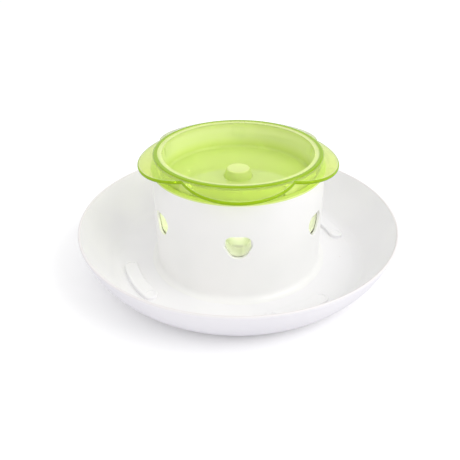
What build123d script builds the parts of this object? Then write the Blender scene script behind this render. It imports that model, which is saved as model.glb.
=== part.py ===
"""Push button treat dispenser: a round tray with a drum, a lift-out hopper and a sprung button.

Millimetres. +Z is up, -Y is the front. The origin is the middle of the surface that it stands on.
"""
import math
import os

from build123d import *

os.makedirs("parts", exist_ok=True)

# ------------------------------------------------------------------ tray
rim_radius = 140.35
rim_height = 43.4
tray_wall = 2.6
foot_stand = 1.0  # how far the feet hold the tray's underside up
tray_base_radius = 111.3
tray_wall_curve = 71.5  # radius of the bulging outer wall, seen in section
tray_inner_blend = 16.0
tray_base_blend = 3.0
lip_share = 0.49  # the lip's rounding, as a share of the tray's wall

# ------------------------------------------------------------------ arc pads and feet
pad_count = 4
pad_turn = 29.3  # degrees from the front to the first pad's middle
pad_inset = 12.1  # from the edge of the tray's flat underside to the middle of the pads
pad_width = 11.5
pad_span = 27.5  # degrees between the centres of the pad's round ends
pad_rise = 3.0
pad_edge = 1.0
pad_side_wall = 2.0
foot_gap = 0.15
mark_radius = 3.6
mark_depth = 0.4

# ------------------------------------------------------------------ drum
drum_top_radius = 73.2
drum_rise = 47.9  # from the tray's rim to the drum's top
drum_wall = 2.2
drum_draft = 0.5  # degrees
drum_foot_reach = 5.3
drum_foot_edge = 0.5
drum_top_edge = 0.5

# ------------------------------------------------------------------ outlets
outlet_count = 6
outlet_drop = 27.0  # from the drum's top to the outlet's top
outlet_height = 19.4
outlet_flat = 8.2
outlet_shoulder_radius = 6.9
outlet_toe_radius = 8.6
outlet_edge = 0.6

# ------------------------------------------------------------------ drum screws
screw_inset = 9.2  # from the drum's top radius to the screws' circle
screw_boss_radius = 3.8
screw_boss_height = 18.0
screw_web = 3.0
screw_shank_radius = 1.45
screw_head_radius = 3.2
screw_head_height = 1.6
screw_length = 13.0
screw_pilot_spare = 1.0
screw_thread_gap = 0.05
screw_head_gap = 0.1
screw_drive = 1.5

# ------------------------------------------------------------------ hopper
hopper_gap = 0.4
hopper_wall = 1.6
hopper_flange = 1.5
hopper_overhang = 0.2
hopper_floor = 1.8
hopper_bottom_blend = 2.0
hopper_flange_edge = 0.5
spout_lip = 0.6  # how far the spout stands in from the drum's outlet
spout_wall = 1.4
spout_length = 10.2
spout_step = 0.3  # how far the spout's channel lies below the sloping floor's edge
socket_wall = 2.0
socket_rise = 1.0  # how far the socket stands above the sloping floor
socket_length = 19.0
key_width = 5.6
key_height = 3.8
key_reach = 1.4
key_gap = 0.3

# ------------------------------------------------------------------ button dish
dish_side_gap = 1.5  # between the dish's wall and the hopper
dish_depth = 24.5
press_gap = 1.4  # left between the ring and the hopper's flange when the button is down
ring_overhang = 3.1
ring_band = 3.4
ring_depth = 3.5
ring_edge = 0.9
dish_wall = 1.8
dish_floor = 2.4
dish_wall_lean = 1.9
dish_corner = 3.0
hub_base_radius = 12.6  # of the raised hub in the middle of the dish
hub_top_radius = 9.8
hub_rise = 7.3
hub_edge = 1.6
rib_gap = 0.5
rib_width = 12.0
petal_count = 5
petal_reach = 13.8  # from the ring to a petal's tip
petal_notch_reach = 1.9
petal_step = 0.7
petal_slope = 19.5  # degrees
petal_thickness = 2.8
petal_edge = 1.1
petal_notch_blend = 2.5

# ------------------------------------------------------------------ button mechanism
button_travel = 8.0
stop_gap = 0.2
stem_radius = 10.5
stem_wall = 2.0
stem_flange_reach = 4.5
stem_flange = 2.0
stem_running_gap = 0.06
spline_width = 2.4
spline_proud = 1.0
spline_gap = 0.3
guide_wall = 2.2
guide_gap = 0.3
guide_overhang = 0.9
guide_flange = 1.5
guide_floor = 2.0
guide_depth = 22.5
lug_width = 3.0
lug_depth = 2.0
bumper_height = 2.0
bumper_side_gap = 0.2
seat_thickness = 0.8
bush_wall = 1.0
bush_flange_reach = 1.5
bush_flange = 1.0
pin_radius = 2.0
pin_running_gap = 0.05
pin_boss_wall = 2.5
pin_boss_length = 8.0
pin_sink = 7.0
pin_seat_gap = 0.03
washer_reach = 4.0
washer_thickness = 1.0
nut_flats = 7.0
nut_thickness = 3.2
pin_tail = 1.2
pin_chamfer = 0.3
spring_wire_radius = 0.6
spring_side_gap = 1.2
spring_turns = 9

# ------------------------------------------------------------------ agitator
agitator_inset = 17.0  # from the hopper's wall to the agitator's corners
agitator_corner_blend = 10.0
agitator_gap = 0.7  # left over the guide tube when the button is down
agitator_thickness = 2.0
agitator_boss_length = 4.0
agitator_hole_gap = 0.1
feed_hole_radius = 8.0
feed_hole_edge = 5.0  # of plate left outside each feed hole
finger_length = 12.0
finger_width = 5.0
finger_gap = 1.8  # left over the sloping floor when the button is down
finger_inset = 4.0
plate_screw_count = 3
plate_boss_radius = 3.2
plate_boss_gap = 1.8
plate_screw_radius = 1.2
plate_screw_gap = 0.05
plate_screw_hole_gap = 0.2
plate_screw_head_radius = 2.6
plate_screw_head = 1.6
plate_screw_reach = 4.2

# ------------------------------------------------------------------ worked-out places
tray_floor_top = foot_stand + tray_wall
pad_top = tray_floor_top + pad_rise
pad_centre_radius = tray_base_radius - pad_inset

drum_top_height = rim_height + drum_rise
drum_height = drum_top_height - tray_floor_top
drum_base_radius = drum_top_radius + drum_height * math.tan(math.radians(drum_draft))
screw_circle_radius = drum_top_radius - screw_inset
outlet_top = drum_top_height - outlet_drop
outlet_bottom = outlet_top - outlet_height

hopper_radius = drum_top_radius - drum_wall - hopper_gap
hopper_inner_radius = hopper_radius - hopper_wall
hopper_rim_top = drum_top_height + hopper_flange
cone_bottom = outlet_bottom + spout_lip + spout_step

ring_underside = hopper_rim_top + button_travel + press_gap
ring_top = ring_underside + petal_thickness + petal_step
dish_floor_top = ring_top - dish_depth
dish_underside = dish_floor_top - dish_floor
dish_shoulder_radius = hopper_inner_radius - dish_side_gap
dish_floor_radius = dish_shoulder_radius - dish_wall - dish_wall_lean
ring_radius = dish_shoulder_radius + ring_overhang
petal_tip_radius = ring_radius + petal_reach
petal_notch_radius = ring_radius + petal_notch_reach

plate_top = dish_underside - agitator_boss_length
plate_bottom = plate_top - agitator_thickness
stem_bore = stem_radius - stem_wall
stem_flange_radius = stem_radius + stem_flange_reach
plate_screw_circle = stem_flange_radius + plate_boss_gap + plate_boss_radius

guide_top = plate_bottom - plate_screw_head - button_travel - agitator_gap
guide_bore = stem_radius + stem_running_gap
guide_radius = guide_bore + guide_wall
guide_floor_top = guide_top - guide_depth
guide_bottom = guide_floor_top - guide_floor
socket_top = guide_top - guide_flange
socket_bore = guide_radius + guide_gap
socket_radius = socket_bore + socket_wall
guide_flange_radius = socket_radius + guide_overhang
hopper_cone_top = socket_top - socket_rise
stem_bottom = guide_floor_top + bumper_height + stop_gap + button_travel

seat_top = guide_floor_top + seat_thickness
bush_radius = pin_radius + pin_running_gap + bush_wall
bush_flange_radius = bush_radius + bush_flange_reach
washer_top = guide_bottom
nut_top = washer_top - washer_thickness
nut_bottom = nut_top - nut_thickness


def save(node, shape):
    """Writes one node's solids to its file."""
    export_step(Compound(children=list(shape.solids())), f"parts/{node}.step")


def disc(radius, bottom, top, inner=0.0):
    """A disc or ring about the z axis, from bottom to top."""
    solid = Pos(0, 0, bottom) * extrude(Circle(radius), amount=top - bottom)
    if inner > 0:
        solid -= Pos(0, 0, bottom) * extrude(Circle(inner), amount=top - bottom)
    return solid


def turned(*points):
    """The solid that a closed section of (radius, height) points sweeps about the z axis."""
    return revolve(Plane.XZ * make_face(Polyline(*points, close=True)), Axis.Z)


def spread(shape, count, start=0.0):
    """Copies of a front-facing shape, evenly turned about the z axis."""
    return [Rot(0, 0, start + 360 / count * k) * shape for k in range(count)]


def joined(shape, pieces):
    """The shape with each of the pieces added."""
    for piece in pieces:
        shape = shape + piece
    return shape


def without(shape, pieces):
    """The shape with each of the pieces cut away."""
    for piece in pieces:
        shape = shape - piece
    return shape


def corner(face, radius, height):
    """The corner of a section face that lies nearest to a point."""
    target = Vector(radius, 0, height)
    return min(face.vertices(), key=lambda v: (Vector(*tuple(v)) - target).length)


# ------------------------------------------------------------------ tray and feet
def tray_curve_centre():
    """Centre of the outer wall's arc, from its two ends and its radius."""
    half_r = (rim_radius - tray_base_radius) / 2
    half_z = (rim_height - foot_stand) / 2
    half_chord = math.hypot(half_r, half_z)
    stand_off = math.sqrt(tray_wall_curve**2 - half_chord**2)
    centre_r = tray_base_radius + half_r - stand_off * half_z / half_chord
    centre_z = foot_stand + half_z + stand_off * half_r / half_chord
    return centre_r, centre_z


def bowl_section(radius, floor):
    """The filled half section of a bowl whose wall is an arc of this radius."""
    centre_r, centre_z = tray_curve_centre()
    top_r = centre_r + math.sqrt(radius**2 - (rim_height - centre_z) ** 2)
    base_r = centre_r + math.sqrt(radius**2 - (floor - centre_z) ** 2)
    middle = (math.atan2(rim_height - centre_z, top_r - centre_r)
              + math.atan2(floor - centre_z, base_r - centre_r)) / 2
    middle_point = (centre_r + radius * math.cos(middle), centre_z + radius * math.sin(middle))
    wall = ThreePointArc((base_r, floor), middle_point, (top_r, rim_height))
    rest = Polyline((top_r, rim_height), (0, rim_height), (0, floor), (base_r, floor))
    return Plane.XZ * make_face([wall, *rest.edges()]), top_r, base_r


def tray_shell():
    outer, outer_top, outer_base = bowl_section(tray_wall_curve, foot_stand)
    inner, inner_top, inner_base = bowl_section(tray_wall_curve - tray_wall, tray_floor_top)
    outer = fillet(corner(outer, outer_base, foot_stand), tray_base_blend)
    inner = fillet(corner(inner, inner_base, tray_floor_top), tray_inner_blend)
    section = outer - inner
    lip = [corner(section, outer_top, rim_height), corner(section, inner_top, rim_height)]
    return revolve(fillet(lip, tray_wall * lip_share), Axis.Z)


def pad_slot(width, bottom, top):
    """An arc-shaped block with round ends at the front, following the tray's circle."""
    arc = CenterArc((0, 0), pad_centre_radius, 270 - pad_span / 2, pad_span)
    return Pos(0, 0, bottom) * extrude(SlotArc(arc, width), amount=top - bottom)


def pad_end(side):
    """Centre of one of the round ends of the front-facing pad."""
    angle = math.radians(270 + side * pad_span / 2)
    return Pos(pad_centre_radius * math.cos(angle), pad_centre_radius * math.sin(angle), 0)


def raised_pad():
    block = pad_slot(pad_width, tray_floor_top - tray_wall / 2, pad_top)
    block = fillet(block.faces().sort_by(Axis.Z)[-1].edges(), pad_edge)
    return without(block, [pad_end(side) * disc(mark_radius, pad_top - mark_depth, pad_top + mark_depth)
                           for side in (-1, 1)])


def foot_recess_width():
    return pad_width - 2 * pad_side_wall


def make_tray():
    tray = joined(tray_shell(), spread(raised_pad(), pad_count, pad_turn))
    recess = pad_slot(foot_recess_width(), 0, pad_top - tray_wall)
    tray = without(tray, spread(recess, pad_count, pad_turn))
    hole_radius = screw_shank_radius + screw_head_gap
    hole = disc(hole_radius, 0, tray_floor_top + tray_wall)
    sink = turned((0, 0), (screw_head_radius + screw_head_gap, 0),
                  (screw_head_radius + screw_head_gap, foot_stand + screw_head_gap),
                  (hole_radius, foot_stand + screw_head_height + screw_head_gap),
                  (0, foot_stand + screw_head_height + screw_head_gap))
    cut = Pos(0, -screw_circle_radius, 0) * (hole + sink)
    return without(tray, spread(cut, outlet_count, 180 / outlet_count))


def make_foot():
    width = foot_recess_width() - 2 * foot_gap
    foot = pad_slot(width, 0, pad_top - tray_wall)
    return fillet(foot.faces().sort_by(Axis.Z)[0].edges(), foot_stand / 2)


# ------------------------------------------------------------------ drum
def outlet_face(grow):
    """The pick-shaped outlet, seen from outside, with its outline moved outwards by grow."""
    shoulder_x = outlet_flat / 2
    shoulder_z = outlet_top - outlet_shoulder_radius
    toe_z = outlet_bottom + outlet_toe_radius
    apart = math.hypot(shoulder_x, shoulder_z - toe_z)
    turn = math.degrees(math.atan2(shoulder_z - toe_z, shoulder_x)
                        - math.acos((outlet_toe_radius - outlet_shoulder_radius) / apart))
    right = CenterArc((shoulder_x, shoulder_z), outlet_shoulder_radius + grow, 90, turn - 90)
    toe = CenterArc((0, toe_z), outlet_toe_radius + grow, turn, -180 - 2 * turn)
    left = CenterArc((-shoulder_x, shoulder_z), outlet_shoulder_radius + grow, 180 - turn, turn - 90)
    return make_face([Line(left @ 1, right @ 0), right, Line(right @ 1, toe @ 0),
                      toe, Line(toe @ 1, left @ 0), left])


def outlet_bar(grow, start, end):
    """The outlet's shape carried outwards at the front, from one radius to another."""
    plane = Plane(origin=(0, -start, 0), x_dir=(1, 0, 0), z_dir=(0, -1, 0))
    return extrude(plane * outlet_face(grow), amount=end - start, dir=(0, -1, 0))


def drum_shell():
    toe_radius = drum_base_radius + drum_foot_reach
    toe_top = tray_floor_top + drum_foot_edge
    foot_top = toe_top + drum_foot_reach
    slope = math.tan(math.radians(drum_draft))
    wall_radius = drum_top_radius + (drum_top_height - foot_top) * slope
    reach = toe_radius - wall_radius
    bend = math.radians(45)
    flare = ThreePointArc((toe_radius, toe_top),
                          (toe_radius - reach * math.sin(bend), foot_top - drum_foot_reach * math.cos(bend)),
                          (wall_radius, foot_top))
    rest = Polyline((wall_radius, foot_top), (drum_top_radius, drum_top_height),
                    (drum_top_radius - drum_wall, drum_top_height),
                    (drum_base_radius - drum_wall, tray_floor_top),
                    (toe_radius, tray_floor_top), (toe_radius, toe_top))
    section = Plane.XZ * make_face([flare, *rest.edges()])
    section = fillet(corner(section, drum_top_radius, drum_top_height), drum_top_edge)
    return revolve(section, Axis.Z)


def screw_boss():
    """One boss inside the drum, tied to its wall by a web."""
    top = tray_floor_top + screw_boss_height
    boss = Pos(0, -screw_circle_radius, 0) * disc(screw_boss_radius, tray_floor_top, top)
    web_end = drum_top_radius - drum_wall / 2
    web_length = web_end - screw_circle_radius
    web = Pos(0, -screw_circle_radius - web_length / 2, (tray_floor_top + top) / 2) * Box(
        screw_web, web_length, screw_boss_height)
    pilot = disc(screw_shank_radius + screw_thread_gap, tray_floor_top,
                 foot_stand + screw_length + screw_pilot_spare)
    return boss + web - Pos(0, -screw_circle_radius, 0) * pilot


def make_drum():
    drum = drum_shell()
    opening = outlet_bar(0, hopper_radius, drum_base_radius + drum_foot_reach)
    drum = without(drum, spread(opening, outlet_count))
    edges = [e for e in drum.edges()
             if outlet_bottom - outlet_edge < e.center().Z < outlet_top + outlet_edge
             and Vector(e.center().X, e.center().Y).length > drum_top_radius - drum_wall / 4]
    drum = fillet(edges, outlet_edge)
    drum = joined(drum, spread(screw_boss(), outlet_count, 180 / outlet_count))
    slot_end = hopper_radius + key_reach + key_gap
    slot = Pos(slot_end / 2, 0, drum_top_height - key_height / 2) * Box(
        slot_end, key_width + 2 * key_gap, key_height + 2 * key_gap)
    return drum - slot


def drum_screw():
    head_bottom = foot_stand
    head_top = foot_stand + screw_head_height
    screw = turned((0, head_bottom), (screw_head_radius, head_bottom), (screw_shank_radius, head_top),
                   (screw_shank_radius, foot_stand + screw_length - screw_shank_radius),
                   (0, foot_stand + screw_length))
    drive = extrude(RegularPolygon(screw_drive, 6), amount=head_bottom + screw_head_height / 2)
    return Pos(0, -screw_circle_radius, 0) * (screw - drive)


# ------------------------------------------------------------------ hopper
def cone_height(radius):
    """Height of the hopper's sloping floor at a radius."""
    share = (radius - socket_radius) / (hopper_inner_radius - socket_radius)
    return hopper_cone_top + share * (cone_bottom - hopper_cone_top)


def hopper_shell():
    flange_radius = drum_top_radius + hopper_overhang
    points = [(socket_bore, socket_top - socket_length), (socket_radius, socket_top - socket_length),
              (socket_radius, hopper_cone_top - hopper_floor), (hopper_radius, cone_bottom - hopper_floor),
              (hopper_radius, drum_top_height), (flange_radius, drum_top_height),
              (flange_radius, hopper_rim_top), (hopper_inner_radius, hopper_rim_top),
              (hopper_inner_radius, cone_bottom), (socket_radius, hopper_cone_top),
              (socket_radius, socket_top), (socket_bore, socket_top)]
    section = Plane.XZ * make_face(Polyline(*points, close=True))
    section = fillet(corner(section, hopper_radius, cone_bottom - hopper_floor), hopper_bottom_blend)
    section = fillet(corner(section, flange_radius, hopper_rim_top), hopper_flange_edge)
    return revolve(section, Axis.Z)


def spout():
    """The outer form of one spout. It runs from inside the hopper into its wall."""
    end = hopper_inner_radius + hopper_wall / 5
    return outlet_bar(spout_wall - spout_lip, hopper_radius - spout_length, end)


def spout_sill():
    """The foot of a spout's inner end, which closes the step down from the sloping floor."""
    end = hopper_radius - spout_length
    block = outlet_bar(spout_wall - spout_lip, end - 2 * spout_wall, end)
    deep = cone_bottom - spout_length
    return block & turned((socket_radius, deep), (socket_radius, hopper_cone_top),
                          (hopper_inner_radius, cone_bottom), (hopper_inner_radius, deep))


def make_hopper():
    hopper = joined(hopper_shell(), spread(spout(), outlet_count))
    hopper = joined(hopper, spread(spout_sill(), outlet_count))
    tunnel = outlet_bar(-spout_lip, hopper_radius - spout_length - spout_wall, drum_top_radius)
    hopper = without(hopper, spread(tunnel, outlet_count))
    key = Pos(hopper_radius, 0, drum_top_height - key_height / 2) * Box(
        2 * key_reach, key_width, key_height)
    hopper = hopper + (key - disc(hopper_radius - hopper_wall / 2, 0, hopper_rim_top))
    notch = Pos(0, 0, socket_top) * Box(lug_width + 2 * spline_gap, 2 * socket_radius + socket_wall,
                                        2 * (lug_depth + spline_gap))
    return hopper - notch


# ------------------------------------------------------------------ guide tube and what sits in it
def make_guide_tube():
    guide = disc(guide_radius, guide_bottom, guide_top)
    guide += disc(guide_flange_radius, socket_top, guide_top)
    lugs = Pos(0, 0, socket_top - lug_depth / 2) * Box(lug_width, 2 * socket_radius, lug_depth)
    guide += lugs
    guide -= disc(guide_bore, guide_floor_top, guide_top)
    groove_span = 2 * (stem_radius + spline_proud + spline_gap)
    groove = Pos(0, 0, (guide_floor_top + guide_top) / 2) * Box(
        groove_span, spline_width + 2 * spline_gap, guide_top - guide_floor_top)
    guide -= groove
    return guide - disc(bush_radius, guide_bottom, guide_floor_top)


def make_pin_bush():
    bush = disc(bush_radius, guide_bottom, guide_floor_top)
    bush += disc(bush_flange_radius, guide_floor_top, guide_floor_top + bush_flange)
    return bush - disc(pin_radius + pin_running_gap, guide_bottom, guide_floor_top + bush_flange)


def make_stop_bumper():
    return disc(guide_bore - bumper_side_gap, guide_floor_top, guide_floor_top + bumper_height,
                stem_bore - bumper_side_gap)


def make_spring_seat():
    return disc(stem_bore - 2 * bumper_side_gap, guide_floor_top, seat_top,
                bush_flange_radius + bumper_side_gap)


def make_return_spring():
    """The coil spring, one turn joined to the next."""
    low = seat_top + spring_wire_radius
    pitch = (dish_underside - spring_wire_radius - low) / spring_turns
    path = Helix(pitch=pitch, height=pitch, radius=stem_bore - spring_side_gap - spring_wire_radius)
    wire = Plane(origin=path @ 0, z_dir=path % 0) * Circle(spring_wire_radius)
    turn = sweep(wire, path=path, is_frenet=True)
    return joined(Pos(0, 0, low) * turn, [Pos(0, 0, low + pitch * k) * turn for k in range(1, spring_turns)])


# ------------------------------------------------------------------ button
def petal_outline():
    """The scalloped outline: one arc for each petal, meeting in blended notches."""
    half = math.radians(180 / petal_count)
    points = []
    for k in range(petal_count):
        middle = math.radians(270) + 2 * half * k
        start = middle - half
        points.append(((petal_notch_radius * math.cos(start), petal_notch_radius * math.sin(start)),
                       (petal_tip_radius * math.cos(middle), petal_tip_radius * math.sin(middle))))
    arcs = [ThreePointArc(points[k][0], points[k][1], points[(k + 1) % petal_count][0])
            for k in range(petal_count)]
    face = make_face(arcs)
    return fillet(face.vertices(), petal_notch_blend)


def petal_flange():
    """The drooping flange, cut to the petals' outline and with rounded edges."""
    far = petal_tip_radius + petal_thickness
    drop = (far - ring_radius) * math.tan(math.radians(petal_slope))
    top = ring_top - petal_step
    sheet = turned((dish_floor_radius, top), (ring_radius, top), (far, top - drop),
                   (far, top - drop - petal_thickness), (ring_radius, ring_underside),
                   (dish_floor_radius, ring_underside))
    flange = sheet & extrude(petal_outline(), amount=ring_top, dir=(0, 0, 1))
    rim = [e for e in flange.edges()
           if Vector(e.center().X, e.center().Y).length > ring_radius + petal_edge
           and abs(e.tangent_at(0.5).Z) < 0.5]
    return fillet(rim, petal_edge)


def dish_outer_radius(height):
    """Outer radius of the dish's leaning wall at a height."""
    share = (ring_underside - height) / (ring_underside - dish_floor_top)
    return dish_shoulder_radius - share * dish_wall_lean


def dish_bowl():
    foot = dish_outer_radius(dish_underside)
    shoulder = dish_outer_radius(ring_underside)
    points = [(0, dish_underside), (foot, dish_underside), (shoulder, ring_underside),
              (ring_radius, ring_underside), (ring_radius, ring_top), (ring_radius - ring_band, ring_top),
              (shoulder - dish_wall, ring_top - ring_depth), (dish_floor_radius, dish_floor_top),
              (0, dish_floor_top)]
    section = Plane.XZ * make_face(Polyline(*points, close=True))
    section = fillet(corner(section, dish_floor_radius, dish_floor_top), dish_corner)
    section = fillet(corner(section, foot, dish_underside), dish_corner)
    for radius in (ring_radius, ring_radius - ring_band):
        section = fillet(corner(section, radius, ring_top), ring_edge)
    return revolve(section, Axis.Z)


def dish_hub():
    """The raised round hub over the stem, with sloping sides and a rounded edge."""
    top = dish_floor_top + hub_rise
    points = [(0, dish_underside), (hub_base_radius, dish_underside), (hub_base_radius, dish_floor_top),
              (hub_top_radius, top), (0, top)]
    section = Plane.XZ * make_face(Polyline(*points, close=True))
    return revolve(fillet(corner(section, hub_top_radius, top), hub_edge), Axis.Z)


def guide_rib():
    """One rib on the dish's outside, under a notch between two petals."""
    rib_radius = hopper_inner_radius - rib_gap
    ring = disc(rib_radius, dish_floor_top, ring_underside, dish_floor_radius + dish_wall / 2)
    return ring & (Pos(0, -rib_radius, (dish_floor_top + ring_underside) / 2) * Box(
        rib_width, rib_radius, ring_underside - dish_floor_top))


def make_button_dish():
    dish = dish_bowl() + petal_flange() + dish_hub()
    dish = joined(dish, spread(guide_rib(), petal_count, 180 / petal_count))
    dish += disc(pin_radius + pin_boss_wall, dish_underside - pin_boss_length, dish_underside)
    boss = Pos(0, -plate_screw_circle, 0) * disc(plate_boss_radius, plate_top, dish_underside)
    dish = joined(dish, spread(boss, plate_screw_count))
    boss_bottom = dish_underside - pin_boss_length
    dish -= disc(pin_radius + pin_seat_gap, boss_bottom, boss_bottom + pin_sink)
    pilot = Pos(0, -plate_screw_circle, 0) * disc(
        plate_screw_radius + plate_screw_gap, plate_top, plate_top + plate_screw_reach + plate_screw_gap)
    return without(dish, spread(pilot, plate_screw_count))


def spline_bar(gap):
    """The two splines of the stem as one bar through it, with a gap all round."""
    span = 2 * (stem_radius + spline_proud + gap)
    return Pos(0, 0, (stem_bottom + plate_top) / 2) * Box(span, spline_width + 2 * gap,
                                                          plate_top - stem_bottom)


def make_stem():
    stem = disc(stem_radius, stem_bottom, dish_underside)
    stem += spline_bar(0)
    stem += disc(stem_flange_radius, plate_top, plate_top + stem_flange)
    return stem - disc(stem_bore, stem_bottom, dish_underside)


def make_agitator():
    corner_radius = hopper_inner_radius - agitator_inset
    outline = fillet(RegularPolygon(corner_radius, outlet_count, rotation=90).vertices(),
                     agitator_corner_blend)
    plate = Pos(0, 0, plate_bottom) * extrude(outline, amount=agitator_thickness)
    finger_end = corner_radius - finger_inset
    finger_drop = plate_bottom - button_travel - finger_gap - cone_height(finger_end - finger_length)
    finger = Pos(0, -(finger_end - finger_length / 2), plate_bottom - finger_drop / 2) * Box(
        finger_width, finger_length, finger_drop)
    plate = joined(plate, spread(finger, outlet_count))
    flat_radius = corner_radius * math.cos(math.radians(180 / outlet_count))
    feed_hole_circle = flat_radius - feed_hole_edge - feed_hole_radius
    feed_hole = Pos(0, -feed_hole_circle, 0) * disc(feed_hole_radius, plate_bottom, plate_top)
    screw_hole = Pos(0, -plate_screw_circle, 0) * disc(
        plate_screw_radius + plate_screw_hole_gap, plate_bottom, plate_top)
    plate = without(plate, spread(feed_hole, outlet_count, 180 / outlet_count))
    plate = without(plate, spread(screw_hole, plate_screw_count))
    plate -= disc(stem_radius + agitator_hole_gap, plate_bottom, plate_top)
    return plate - spline_bar(agitator_hole_gap)


def plate_screw():
    screw = disc(plate_screw_radius, plate_bottom, plate_top + plate_screw_reach)
    screw += disc(plate_screw_head_radius, plate_bottom - plate_screw_head, plate_bottom)
    drive = Pos(0, 0, plate_bottom - plate_screw_head) * extrude(
        RegularPolygon(plate_screw_radius, 6), amount=plate_screw_head / 2)
    return Pos(0, -plate_screw_circle, 0) * (screw - drive)


# ------------------------------------------------------------------ pin, washer and nut
def make_guide_pin():
    top = dish_underside - pin_boss_length + pin_sink
    pin = disc(pin_radius, nut_bottom - pin_tail, top)
    return chamfer(pin.faces().sort_by(Axis.Z)[0].edges(), pin_chamfer)


def make_pin_washer():
    return disc(pin_radius + washer_reach, nut_top, washer_top, pin_radius + pin_running_gap)


def make_pin_nut():
    hexagon = RegularPolygon(nut_flats / 2, 6, major_radius=False)
    nut = Pos(0, 0, nut_bottom) * extrude(hexagon, amount=nut_thickness)
    return nut - disc(pin_radius + pin_seat_gap, nut_bottom, nut_top)


save("tray", make_tray())
save("drum", make_drum())
foot = make_foot()
for name, turned_foot in zip(("front_right_foot", "rear_right_foot", "rear_left_foot", "front_left_foot"),
                             spread(foot, pad_count, pad_turn)):
    save(name, turned_foot)
save("drum_screws", Compound(children=spread(drum_screw(), outlet_count, 180 / outlet_count)))
save("hopper", make_hopper())
save("guide_tube", make_guide_tube())
save("pin_bush", make_pin_bush())
save("stop_bumper", make_stop_bumper())
save("spring_seat", make_spring_seat())
save("return_spring", make_return_spring())
save("button_dish", make_button_dish())
save("stem", make_stem())
save("agitator", make_agitator())
save("agitator_screws", Compound(children=spread(plate_screw(), plate_screw_count)))
save("guide_pin", make_guide_pin())
save("pin_washer", make_pin_washer())
save("pin_nut", make_pin_nut())
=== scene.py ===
"""Finishes, fine detail, studio and camera for the push button treat dispenser.

Metres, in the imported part's own frame: +Z is up, -Y is the front, and the ground is at z = 0.
"""
import math

import bmesh
import bpy
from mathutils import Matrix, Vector


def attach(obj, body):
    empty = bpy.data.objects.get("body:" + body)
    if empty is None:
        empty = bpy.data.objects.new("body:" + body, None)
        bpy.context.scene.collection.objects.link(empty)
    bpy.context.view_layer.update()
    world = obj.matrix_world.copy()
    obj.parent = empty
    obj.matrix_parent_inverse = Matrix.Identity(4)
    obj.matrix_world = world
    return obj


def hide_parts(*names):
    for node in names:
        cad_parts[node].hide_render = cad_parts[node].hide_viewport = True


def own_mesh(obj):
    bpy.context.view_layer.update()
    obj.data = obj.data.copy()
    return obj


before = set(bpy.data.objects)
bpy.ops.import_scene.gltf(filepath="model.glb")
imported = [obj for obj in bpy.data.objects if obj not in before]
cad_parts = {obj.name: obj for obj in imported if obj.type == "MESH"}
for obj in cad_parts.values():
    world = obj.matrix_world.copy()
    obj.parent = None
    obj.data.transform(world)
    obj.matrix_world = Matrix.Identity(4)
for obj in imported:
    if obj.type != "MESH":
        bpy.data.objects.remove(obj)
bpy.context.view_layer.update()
MM = 0.001
FULL_TURN = 2 * math.pi


def mm(*lengths):
    """Lengths in millimetres, as metres."""
    return tuple(length * MM for length in lengths)


def srgb(red, green, blue):
    """A display colour, each channel 0 to 255, as the linear colour that a shader takes."""
    def linear(value):
        share = value / 255
        return share / 12.92 if share <= 0.04045 else ((share + 0.055) / 1.055) ** 2.4
    return (linear(red), linear(green), linear(blue), 1.0)


# ------------------------------------------------------------------ colours
PLAIN_WHITE = (1.0, 1.0, 1.0, 1.0)
TRAY_WHITE = srgb(245, 244, 245)
TRAY_GREY = srgb(241, 240, 242)
# painted shade: the tray's lip is coloured darker than the rest of the tray
TRAY_LIP_PAINTED_SHADE = srgb(233, 229, 229)
DRUM_WHITE = srgb(246, 245, 243)
DRUM_SHADE = srgb(241, 241, 239)
CRUMB_BROWN = srgb(176, 140, 104)
GUIDE_WHITE = srgb(232, 234, 226)
GUIDE_SHADE = srgb(222, 224, 216)
RUBBER_GREY = srgb(168, 168, 166)
RUBBER_DARK = srgb(140, 140, 139)
BUMPER_GREY = srgb(66, 66, 68)
BUMPER_DARK = srgb(48, 48, 50)
ZINC_LIGHT = srgb(206, 208, 212)
ZINC_DARK = srgb(168, 171, 178)
LID_GREEN = srgb(244, 254, 166)
LID_GREEN_DEEP = srgb(241, 253, 156)
# painted shade: the dish floor is coloured darker than the rest of the lid
LID_FLOOR_PAINTED_SHADE = srgb(228, 243, 150)
# painted light: the dish's inner wall is coloured paler
LID_WALL_PAINTED_LIGHT = srgb(248, 255, 198)
# painted shade: the ring's top and the petals' edges are coloured dark green
LID_EDGE_PAINTED_SHADE = srgb(146, 182, 0)
# painted highlight: a pale line just inside the petals' edges
LID_PAINTED_HIGHLIGHT = srgb(250, 255, 214)
LID_FROST = srgb(242, 254, 162)
# painted light: the hopper is coloured paler low down than at its rim
CUP_PALE_PAINTED_LIGHT = srgb(249, 252, 232)
CUP_MIDDLE_PAINTED_LIGHT = srgb(246, 251, 214)
CUP_GREEN_RIM = srgb(228, 247, 136)
PLATE_GREEN = srgb(240, 250, 200)
PLATE_GREEN_DEEP = srgb(236, 248, 190)
GREEN_ABSORPTION = (0.733, 0.877, 0.067, 1.0)
GREEN_GLOSS = srgb(238, 255, 170)
GREEN_SHADOW = srgb(255, 255, 250)

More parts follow.
